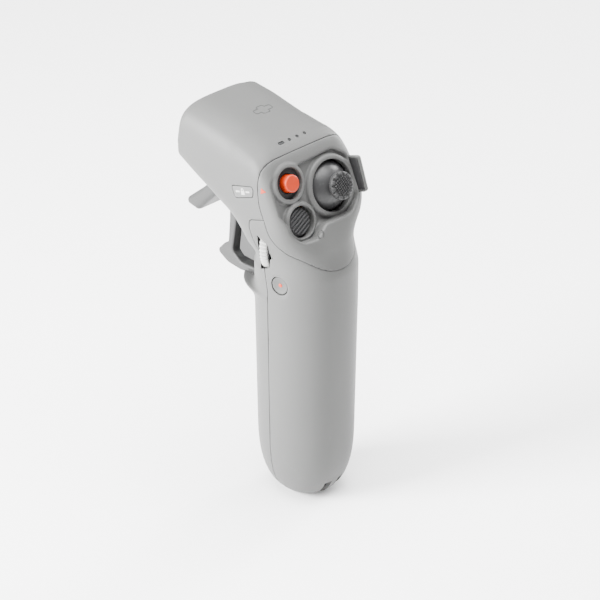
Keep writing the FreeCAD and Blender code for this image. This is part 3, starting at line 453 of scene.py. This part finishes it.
def stick_cap(p):
    u, v, w = face_frame(p)
    u, v = u - STICK_AT[0], v - STICK_AT[1]
    off, turn = np.hypot(u, v), np.arctan2(v, u)
    cap = smooth_max(off - 5.55, pad(w, 3.3, 5.95), 1.2)
    cap = smooth_max(cap, -smooth_max(off - 4.2, 5.25 - w, 0.4), 0.4)
    tooth = np.abs((turn * 12 / (2 * math.pi)) % 1 - 0.5) * 2 * math.pi / 12 * off
    notch = np.hypot(np.maximum(tooth - 0.25, 0), np.maximum(5.55 - w, 0)) - 0.3
    cap = smooth_max(cap, -np.maximum(notch, 4.0 - off), 0.25)
    pitch = 0.95
    a = (u * 0.94 + v * 0.34 + pitch / 2) % pitch - pitch / 2
    b = (v * 0.94 - u * 0.34 + pitch / 2) % pitch - pitch / 2
    stud = smooth_max(np.abs(a) + np.abs(b) - 0.42 + (w - 5.3) * 0.3, pad(w, 5.0, 5.8), 0.15)
    studs = np.maximum(stud, off - 3.7)
    cap = smooth_min(cap, studs, 0.12)
    return np.maximum(cap, -np.maximum(off - 1.4, w - 3.5))


def trigger_lever(p):
    x, y, z = p
    half = np.where(z > 121, 6.5, TRIGGER_HALF)
    lever = smooth_max(flat_distance(lever_line, y, z), np.abs(x) - half, 1.0)
    off = np.hypot(y - PIVOT_Y, z - PIVOT_Z)
    hub = smooth_max(off - 4.15, np.abs(x) - 6.45, 0.5)
    return np.maximum(smooth_min(lever, hub, 1.0), 1.55 - off)


def push_paddle(p):
    x, y, z = p
    blade = smooth_max(flat_distance(paddle_line, y, z) + 0.04, np.abs(x) - PADDLE_HALF, 2.4)
    return np.maximum(blade, 4.6 - np.hypot(y - PIVOT_Y, z - PIVOT_Z))


def trigger_bracket(p):
    x, y, z = p
    block = smooth_max(flat_distance(block_line, y, z), np.abs(x) - 7.35, 1.0)
    ears = np.maximum(pad(y, 17.6, 33.8), pad(z, 130.8, 141))
    ears = np.maximum(pad(np.abs(x), 10.9, 12.2), ears)
    wide = np.where(z > 125.0, 12.2, 7.4)
    plate = np.maximum(pad(y, 17.6, 19.6), pad(z, 117.0, 141.6))
    plate = np.maximum(np.abs(x) - wide, plate)
    bracket = np.minimum(block, np.minimum(ears, plate))
    return np.maximum(bracket, 1.5 - np.hypot(y - PIVOT_Y, z - PIVOT_Z))


# ---- Meshing ---------------------------------------------------------------------------------
BLOCK_CELLS = 8            # cells are made and skipped in cubes of this many a side
UNIT = np.eye(3, dtype=int)


def sample(field, points):
    """A field at many points, in pieces that stay small in memory."""
    count = max(1, len(points) // 120000)
    return np.concatenate([field(piece.T.copy()) for piece in np.array_split(points, count)])


def straddling_cells(field, low, high, step):
    """The cells that the surface passes through, and the field at the corners of their blocks."""
    n = BLOCK_CELLS
    counts = np.ceil((high - low) / (n * step)).astype(int)
    blocks = np.stack(np.meshgrid(*map(np.arange, counts), indexing="ij"), -1).reshape(-1, 3)
    middles = low + (blocks + 0.5) * n * step
    blocks = blocks[np.abs(sample(field, middles)) < 1.5 * n * step]
    corner = np.stack(np.meshgrid(*[np.arange(n + 1)] * 3, indexing="ij"), -1)
    at = (blocks[:, None, None, None] * n + corner).reshape(-1, 3)
    value = sample(field, low + at * step).reshape(-1, n + 1, n + 1, n + 1)
    inside = value < 0
    total = np.zeros((len(blocks), n, n, n), int)
    for i in range(8):
        x, y, z = i & 1, (i >> 1) & 1, i >> 2
        total += inside[:, x:n + x, y:n + y, z:n + z]
    within = np.nonzero((total > 0) & (total < 8))
    cells = blocks[within[0]] * n + np.stack(within[1:], 1)
    return value, within, cells, counts * n + 2


def cell_keys(cells, span):
    """One whole number for each cell, to sort and look up by."""
    return ((cells[:, 0] + 1) * span[1] + cells[:, 1] + 1) * span[2] + cells[:, 2] + 1


def crossed_edges(value, within, cells):
    """Edges of cells that the surface cuts: cell, start, axis and the field at both ends."""
    b, i, j, k = within
    found = []
    for axis in range(3):
        for s in (0, 1):
            for t in (0, 1):
                o = s * UNIT[(axis + 1) % 3] + t * UNIT[(axis + 2) % 3]
                e = o + UNIT[axis]
                f0 = value[b, i + o[0], j + o[1], k + o[2]]
                f1 = value[b, i + e[0], j + e[1], k + e[2]]
                hit = np.nonzero((f0 < 0) != (f1 < 0))[0]
                found.append((hit, cells[hit] + o, np.full(len(hit), axis),
                              np.stack([f0[hit], f1[hit]], 1)))
    return [np.concatenate(column) for column in zip(*found)]


def crossings(field, origin, way, ends):
    """Where the surface cuts each edge: three guided halvings, then a straight line."""
    t = np.tile([0.0, 1.0], (len(ends), 1))
    outward = ends[:, 0] < 0
    for _ in range(3):
        share = np.clip(ends[:, 0] / (ends[:, 0] - ends[:, 1]), 0.02, 0.98)
        middle = t[:, 0] + (t[:, 1] - t[:, 0]) * share
        here = sample(field, origin + way * middle[:, None])
        left = (here < 0) == outward
        t[left, 0], ends[left, 0] = middle[left], here[left]
        t[~left, 1], ends[~left, 1] = middle[~left], here[~left]
    fall = ends[:, 0] - ends[:, 1]
    fall += 1e-12 * np.sign(fall)
    return origin + way * ((t[:, 0] * -ends[:, 1] + t[:, 1] * ends[:, 0]) / fall)[:, None]


def normals(field, points, reach):
    """The way the field rises at each point, from four samples round it."""
    total = np.zeros_like(points)
    for corner in ((1, -1, -1), (-1, -1, 1), (-1, 1, -1), (1, 1, 1)):
        total += sample(field, points + np.array(corner) * reach)[:, None] * corner
    return total / (np.linalg.norm(total, axis=1)[:, None] + 1e-12)


def cell_vertices(points, normal, cell, corners, step):
    """The point in each cell that is nearest to the planes through its crossings."""
    def gather(weights):
        return np.bincount(cell, weights=weights, minlength=len(corners))

    count = gather(None)
    mass = np.stack([gather(points[:, a]) / count for a in range(3)], 1)
    drop = (normal * (points - mass[cell])).sum(axis=1)
    matrix = np.empty((len(corners), 3, 3))
    for a in range(3):
        for c in range(3):
            matrix[:, a, c] = gather(normal[:, a] * normal[:, c]) + (0.04 if a == c else 0.0)
    right = np.stack([gather(normal[:, a] * drop) for a in range(3)], 1)
    spot = mass + np.linalg.solve(matrix, right[..., None])[..., 0]
    return np.clip(spot, corners - 0.05 * step, corners + 1.05 * step)


def contour(field, low, high, step):
    """Dual contouring: vertices and four-sided faces of the surface where a field is zero."""
    low, high = np.array(low, float), np.array(high, float)
    value, within, cells, span = straddling_cells(field, low, high, step)
    cell, start, axis, ends = crossed_edges(value, within, cells)
    _, first, edge = np.unique(cell_keys(start, span) * 3 + axis, return_index=True,
                               return_inverse=True)
    start, axis, ends = start[first], axis[first], ends[first]
    outward = ends[:, 0] < 0
    points = crossings(field, low + start * step, UNIT[axis] * step, ends)
    normal = normals(field, points, step * 0.06)
    spot = cell_vertices(points[edge], normal[edge], cell, low + cells * step, step)
    keys = cell_keys(cells, span)
    order = np.argsort(keys)
    side1, side2 = UNIT[(axis + 1) % 3], UNIT[(axis + 2) % 3]
    quads = []
    for shift in (0 * side1, side1, side1 + side2, side2):
        wanted = cell_keys(start - shift, span)
        found = order[np.clip(np.searchsorted(keys[order], wanted), 0, len(order) - 1)]
        quads.append(np.where(keys[found] == wanted, found, -1))
    quads = np.stack(quads, 1)
    quads[~outward] = quads[~outward][:, ::-1]
    return spot, quads[(quads >= 0).all(axis=1)]


def piece(name, points, faces, body, nodes, slot, sharp=38.0):
    """A mesh object that rides on a body and stands for CAD nodes."""
    mesh = bpy.data.meshes.new(name)
    points, faces = np.asarray(points) / 1000.0, np.asarray(faces)
    mesh.vertices.add(len(points))
    mesh.vertices.foreach_set("co", points.ravel())
    mesh.loops.add(faces.size)
    mesh.loops.foreach_set("vertex_index", faces.ravel().astype(np.int32))
    mesh.polygons.add(len(faces))
    starts = np.arange(0, faces.size, faces.shape[1], dtype=np.int32)
    mesh.polygons.foreach_set("loop_start", starts)
    mesh.update(calc_edges=True)
    mesh.validate()
    mesh.shade_smooth()
    mesh.set_sharp_from_angle(angle=math.radians(sharp))
    made = bpy.data.objects.new(name, mesh)
    bpy.context.scene.collection.objects.link(made)
    made.data.materials.append(materials[slot])
    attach(made, body)
    if nodes:
        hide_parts(*nodes)
    return made


def sculpt(name, field, low, high, step, body, nodes, slot, sharp=38.0):
    points, faces = contour(field, low, high, step)
    return piece(name, points, faces, body, nodes, slot, sharp)


def face_sculpt(name, field, at, half, low, high, step, body, nodes, slot):
    """A sculpted piece on the thumb face, within a square column from low to high."""
    corners = [face_point(at[0] + a, at[1] + b, w) for a in (-half, half) for b in (-half, half)
               for w in (low, high)]
    return sculpt(name, field, np.min(corners, axis=0), np.max(corners, axis=0), step, body, nodes,
                  slot)


def lathe(name, profile, at, axis, body, nodes, slot, around=96, ribs=0, depth=0.0, beyond=0.0):
    """A turned piece: (radius, height) points swept about an axis, with ribs on the points
    beyond a radius."""
    axis = np.array(axis, float) / np.linalg.norm(axis)
    side = np.cross(axis, [0.0, 0.0, 1.0] if abs(axis[2]) < 0.9 else [0.0, 1.0, 0.0])
    side /= np.linalg.norm(side)
    other = np.cross(axis, side)
    around = ribs * 8 if ribs else around
    turn = np.arange(around) * 2 * math.pi / around
    wave = depth * (0.5 - 0.5 * np.cos(turn * ribs)) ** 2 if ribs else 0.0 * turn
    points, faces = [], []
    for radius, height in profile:
        r = radius - (wave if radius > beyond else 0.0)
        ring = (np.outer(np.cos(turn) * r, side) + np.outer(np.sin(turn) * r, other)
                + np.array(at) + axis * height)
        points.append(ring)
    points = np.concatenate(points)
    step = np.arange(around)
    for k in range(len(profile) - 1):
        a, b = k * around, (k + 1) * around
        faces.append(np.stack([a + step, b + step, b + (step + 1) % around,
                               a + (step + 1) % around], 1))
    return piece(name, points, np.concatenate(faces), body, nodes, slot)


# ---- Materials -------------------------------------------------------------------------------
def plastic(name, colour, rough, grain, bump, tint=0.05, metallic=0.0, coat=0.0, edge_highlight=0.06):
    """A moulded or coated material: a fine grain in bump and roughness, broad and small changes
    of colour, and slightly paler convex edges as a painted highlight. Grain is a length in
    millimetres."""
    made = bpy.data.materials.new(name)
    made.use_nodes = True
    nodes, links = made.node_tree.nodes, made.node_tree.links
    shader = nodes["Principled BSDF"]
    place = nodes.new("ShaderNodeTexCoord")

    def noise(scale, detail):
        n = nodes.new("ShaderNodeTexNoise")
        n.inputs["Scale"].default_value = scale
        n.inputs["Detail"].default_value = detail
        links.new(place.outputs["Object"], n.inputs["Vector"])
        return n.outputs["Fac"]

    def remap(value, low, high, from_low=0.3, from_high=0.7):
        n = nodes.new("ShaderNodeMapRange")
        n.inputs["From Min"].default_value = from_low
        n.inputs["From Max"].default_value = from_high
        n.inputs["To Min"].default_value = low
        n.inputs["To Max"].default_value = high
        links.new(value, n.inputs["Value"])
        return n.outputs["Result"]

    def mix(factor, first, second):
        n = nodes.new("ShaderNodeMix")
        n.data_type = "RGBA"
        links.new(factor, n.inputs[0])
        for socket, colour in ((n.inputs[6], first), (n.inputs[7], second)):
            if isinstance(colour, tuple):
                socket.default_value = colour + (1.0,)
            else:
                links.new(colour, socket)
        return n.outputs[2]

    fine, small, broad = noise(1000 / grain, 3), noise(400, 4), noise(28, 3)
    dark = tuple(c * (1 - tint) for c in colour)
    pale = tuple(min(1.0, c * (1 + tint)) for c in colour)
    speck = tuple(min(1.0, c * (1 + tint * 0.6)) for c in colour)
    base = mix(remap(broad, 0, 1), dark, pale)
    base = mix(remap(small, 0, 0.35), base, speck)
    # Convex edges, found by pointiness, are drawn paler: a painted highlight where rounded edges
    # catch the light.
    shape = nodes.new("ShaderNodeNewGeometry")
    edge = remap(shape.outputs["Pointiness"], 0, edge_highlight * 4, 0.52, 0.6)
    edge_highlight_colour = tuple(min(1.0, c * 1.25 + 0.02) for c in colour)
    links.new(mix(edge, base, edge_highlight_colour), shader.inputs["Base Color"])
    links.new(remap(fine, rough - 0.05, rough + 0.06), shader.inputs["Roughness"])
    shader.inputs["Metallic"].default_value = metallic
    shader.inputs["Specular IOR Level"].default_value = 0.3
    shader.inputs["Coat Weight"].default_value = coat
    shader.inputs["Coat Roughness"].default_value = 0.2
    relief = nodes.new("ShaderNodeBump")
    relief.inputs["Strength"].default_value = 1.0
    relief.inputs["Distance"].default_value = bump / 1000.0
    links.new(fine, relief.inputs["Height"])
    links.new(relief.outputs["Normal"], shader.inputs["Normal"])
    return made


# Where given, the keyword that pales convex edges sets the strength of their painted highlight.
materials = {
    "shell": plastic("shell", (0.070, 0.0705, 0.069), 0.50, 0.22, 0.03, tint=0.03, edge_highlight=0.03),
    "lever": plastic("lever", (0.033, 0.0333, 0.033), 0.46, 0.25, 0.03, tint=0.03, edge_highlight=0.03),
    "soft_pad": plastic("soft_pad", (0.022, 0.022, 0.0225), 0.55, 0.2, 0.03, tint=0.1, edge_highlight=0.12),
    "label": plastic("label", (0.088, 0.0885, 0.087), 0.42, 0.25, 0.02, tint=0.02),
    "orange": plastic("orange", (0.33, 0.020, 0.001), 0.42, 0.25, 0.015, tint=0.04, edge_highlight=0.02),
    "light_guide": plastic("light_guide", (0.006, 0.0065, 0.007), 0.45, 0.4, 0.01, edge_highlight=0.0),
    "circuit_board": plastic("circuit_board", (0.008, 0.09, 0.035), 0.35, 0.9, 0.05, tint=0.2,
                             coat=0.5),
    "tin": plastic("tin", (0.60, 0.60, 0.58), 0.3, 0.5, 0.01, tint=0.04, metallic=1.0),
    "dark_plastic": plastic("dark_plastic", (0.009, 0.009, 0.0094), 0.42, 0.25, 0.03, tint=0.15,
                            edge_highlight=0.1),
    "dome": plastic("dome", (0.026, 0.026, 0.0265), 0.38, 0.3, 0.02, tint=0.06),
    "dial_rim": plastic("dial_rim", (0.36, 0.36, 0.35), 0.42, 0.25, 0.02, tint=0.03),
    "key": plastic("key", (0.060, 0.0605, 0.059), 0.45, 0.25, 0.02, tint=0.03),
    "steel": plastic("steel", (0.48, 0.48, 0.47), 0.3, 0.4, 0.01, tint=0.05, metallic=1.0),
    "cell_wrap": plastic("cell_wrap", (0.02, 0.08, 0.24), 0.28, 1.5, 0.03, tint=0.06, coat=0.4),
    "flat_cable": plastic("flat_cable", (0.32, 0.12, 0.02), 0.3, 0.8, 0.02, tint=0.1, coat=0.3),
}
slots = {row["node"]: row["material_slot"] for row in frame["record"]["subparts"]}
for node, shown in frame["nodes"].items():
    for place in shown.material_slots:
        place.material = materials[slots[node]]


# ---- Casings ---------------------------------------------------------------------------------
sculpt("front_casing_shell", front_casing, (-26, 0.5, -0.5), (26, 58, 164), 0.55, "housing",
       ["front_casing"], "shell")
sculpt("back_casing_shell", back_casing, (-26, -22, -0.5), (26, 13, 133), 0.5, "housing",
       ["back_casing"], "shell")
sculpt("thumb_panel_shell", thumb_panel, (-26, -22, 107), (26, 7, 158), 0.32, "housing",
       ["thumb_panel"], "shell")
sculpt("nose_cap_shell", nose_cap, (-22, 42, 130), (22, 58, 164), 0.45, "housing",
       ["nose_cap"], "shell")
sculpt("joystick_guard_lip", joystick_guard, (20, -13, 126), (24, 1, 146), 0.25, "housing",
       ["joystick_guard"], "shell")
sculpt("guard_soft_pad", guard_pad, (20, -13, 127), (22.5, 1, 146), 0.2, "housing",
       ["guard_pad"], "soft_pad")
sculpt("lock_label", lock_label, (-24, 5, 131), (-19, 21, 144), 0.14, "housing",
       ["lock_label_plate"], "label")
sculpt("lock_arrow", lock_pointer, (-24, -1, 139), (-17, 4, 145), 0.12, "housing",
       ["lock_pointer"], "orange")
sculpt("lock_label_icon", lock_icon, (-24, 6, 133), (-19, 18, 143), 0.11, "housing", [], "dial_rim")
sculpt("barrel_top_mark", top_mark, (-3.5, 22, 155), (8.5, 31, 163), 0.13, "housing", [], "lever")
sculpt("mode_key_symbol", mode_symbol, (-8, -16, 117), (-1, -7, 126), 0.12, "housing", [], "lever")

# ---- Thumb controls --------------------------------------------------------------------------
face_sculpt("mode_key_cap", mode_button, MODE_AT, 6.2, -4.8, -0.8, 0.16, "mode_key",
            ["mode_button"], "soft_pad")
face_sculpt("stick_top", stick_cap, STICK_AT, 6.2, 3.0, 6.2, 0.13, "thumbstick",
            ["stick_cap"], "soft_pad")
lathe("stick_dust_dome",
      [(DOME_RADIUS * math.sin(t), DOME_RADIUS * math.cos(t))
       for t in np.linspace(math.radians(56.6), math.asin(1.5 / DOME_RADIUS), 40)]
      + [((DOME_RADIUS - 0.8) * math.sin(t), (DOME_RADIUS - 0.8) * math.cos(t))
         for t in np.linspace(math.asin(1.5 / (DOME_RADIUS - 0.8)), math.radians(54), 40)],
      face_point(*STICK_AT, STICK_PIVOT), FACE_W, "thumbstick", ["stick_dome"], "dome", around=128)
lathe("lock_key_cap",
      [(0.02, 1.42), (1.5, 1.45), (2.4, 1.5), (2.85, 1.46), (3.15, 1.36), (3.33, 1.15), (3.39, 0.9),
       (3.4, -3.6), (4.6, -3.65), (4.6, -4.35), (0.02, -4.4)],
      face_point(*LOCK_AT, 0), FACE_W, "lock_key", ["lock_button"], "orange")
lathe("lock_key_collar",
      [(3.75, -3.15), (3.75, -1.9), (3.9, -1.75), (5.8, -1.75), (5.98, -1.9), (5.98, -3.15)],
      face_point(*LOCK_AT, 0), FACE_W, "housing", ["lock_collar"], "dark_plastic")

# ---- Side keys -------------------------------------------------------------------------------
lathe("record_key_cap",
      [(0.82, -1.02), (1.6, -0.96), (2.6, -0.78), (3.2, -0.6), (3.42, -0.6), (3.56, -0.72),
       (3.6, -0.9), (3.6, -3.2), (4.45, -3.25), (4.45, -3.95), (0.82, -4.0)],
      RECORD_AT, RECORD_OUT, "record_key", ["record_button"], "key")
lathe("record_mark", [(0.02, -0.85), (0.6, -0.86), (0.76, -0.92), (0.8, -1.05), (0.8, -1.5),
                      (0.02, -1.5)], RECORD_AT, RECORD_OUT, "record_key", ["record_dot"], "orange")
lathe("power_key_cap",
      [(0.02, 0.05), (1.5, 0.1), (2.6, 0.22), (3.0, 0.25), (3.25, 0.18), (3.38, 0.0), (3.4, -0.3),
       (3.4, -3.2), (4.25, -3.25), (4.25, -3.95), (0.02, -4.0)],
      POWER_AT, POWER_OUT, "power_key", ["power_button"], "key")

# ---- Dial ------------------------------------------------------------------------------------
tyre = [(9.45, -1.35), (10.8, -1.55), (11.6, -1.5), (11.9, -1.2), (11.97, -0.6), (11.97, 0.6),
        (11.9, 1.2), (11.6, 1.5), (10.8, 1.55), (9.45, 1.35)]
lathe("dial_ribbed_rim", tyre, DIAL_AT, DIAL_AXIS, "dial", ["dial_tyre"], "dial_rim",
      ribs=DIAL_RIBS, depth=0.8, beyond=11.0)
core = [(1.08, -1.8), (9.1, -1.8), (9.4, -1.98), (10.65, -1.98), (10.8, -1.85), (10.8, -1.62),
        (9.4, -1.58), (9.4, 1.58), (10.8, 1.62), (10.8, 1.85), (10.65, 1.98), (9.4, 1.98),
        (9.1, 1.8), (1.08, 1.8)]
lathe("dial_core", core, DIAL_AT, DIAL_AXIS, "dial", ["dial_hub"], "dark_plastic")

# ---- Trigger ---------------------------------------------------------------------------------
sculpt("trigger_finger_lever", trigger_lever, (-9, 15, 89.5), (9, 44, 141), 0.4, "accelerator",
       ["trigger_lever"], "lever")
sculpt("trigger_push_paddle", push_paddle, (-11, 33, 108), (11, 60, 135), 0.4, "accelerator",
       ["push_paddle"], "lever")
sculpt("trigger_inner_block", trigger_bracket, (-13, 14.5, 98), (13, 35, 142.5), 0.45, "housing",
       ["trigger_bracket"], "lever")

# ---- Status lights ---------------------------------------------------------------------------
for number, x in enumerate(LIGHT_X):
    offsets = (0.0, -0.8, -1.6) if number == 0 else (0.0,)
    for bit, offset in enumerate(offsets):
        lathe("status_light_%d_%d" % (number + 1, bit + 1),
              [(0.02, 0.02), (0.35, 0.0), (0.52, -0.07), (0.6, -0.2), (0.6, -4.0), (0.02, -4.0)],
              barrel_point(x + offset, LIGHT_RUN, LIGHT_REACH), BARREL_UP, "housing",
              ["status_light_guide"] if number + bit == 0 else [], "light_guide", around=32)

# ---- Floor, light and camera -----------------------------------------------------------------
ground = bpy.data.meshes.new("floor")
ground.from_pydata([(-4, -4, 0), (4, -4, 0), (4, 4, 0), (-4, 4, 0)], [], [(0, 1, 2, 3)])
floor = bpy.data.objects.new("floor", ground)
floor.data.materials.append(plastic("floor_paint", (0.92, 0.92, 0.92), 0.7, 1.0, 0.01, tint=0.004))
bpy.context.scene.collection.objects.link(floor)

world = bpy.data.worlds.new("studio")
bpy.context.scene.world = world
world.use_nodes = True
world.node_tree.nodes["Background"].inputs["Color"].default_value = (1.0, 1.0, 1.0, 1.0)
world.node_tree.nodes["Background"].inputs["Strength"].default_value = 0.6

TARGET = np.array([0.0, 0.0034, 0.085])


def spherical(azimuth, elevation, distance):
    """A place around the target. Azimuth 0 is behind the grip, 90 on its right."""
    a, e = math.radians(azimuth), math.radians(elevation)
    back = np.array([math.sin(a) * math.cos(e), -math.cos(a) * math.cos(e), math.sin(e)])
    return TARGET + back * distance


def aim(thing, place):
    thing.location = place
    thing.rotation_mode = "QUATERNION"
    thing.rotation_quaternion = Vector(TARGET - place).to_track_quat("-Z", "Y")


def softbox(name, azimuth, elevation, distance, size, power):
    light = bpy.data.lights.new(name, "AREA")
    light.shape = "RECTANGLE"
    light.size, light.size_y = size
    light.energy = power
    made = bpy.data.objects.new(name, light)
    bpy.context.scene.collection.objects.link(made)
    aim(made, spherical(azimuth, elevation, distance))


softbox("key_light", -114, 20, 1.2, (0.5, 1.0), 120)
softbox("rim_light", 92, 16, 1.3, (0.35, 1.0), 34)
softbox("top_light", 0, 87, 0.75, (0.7, 0.7), 29)

camera = bpy.data.objects.new("camera", bpy.data.cameras.new("camera"))
camera.data.lens = 137.7
camera.data.sensor_width = 36.0
bpy.context.scene.collection.objects.link(camera)
aim(camera, spherical(-44, 31, 0.9))
bpy.context.scene.camera = camera
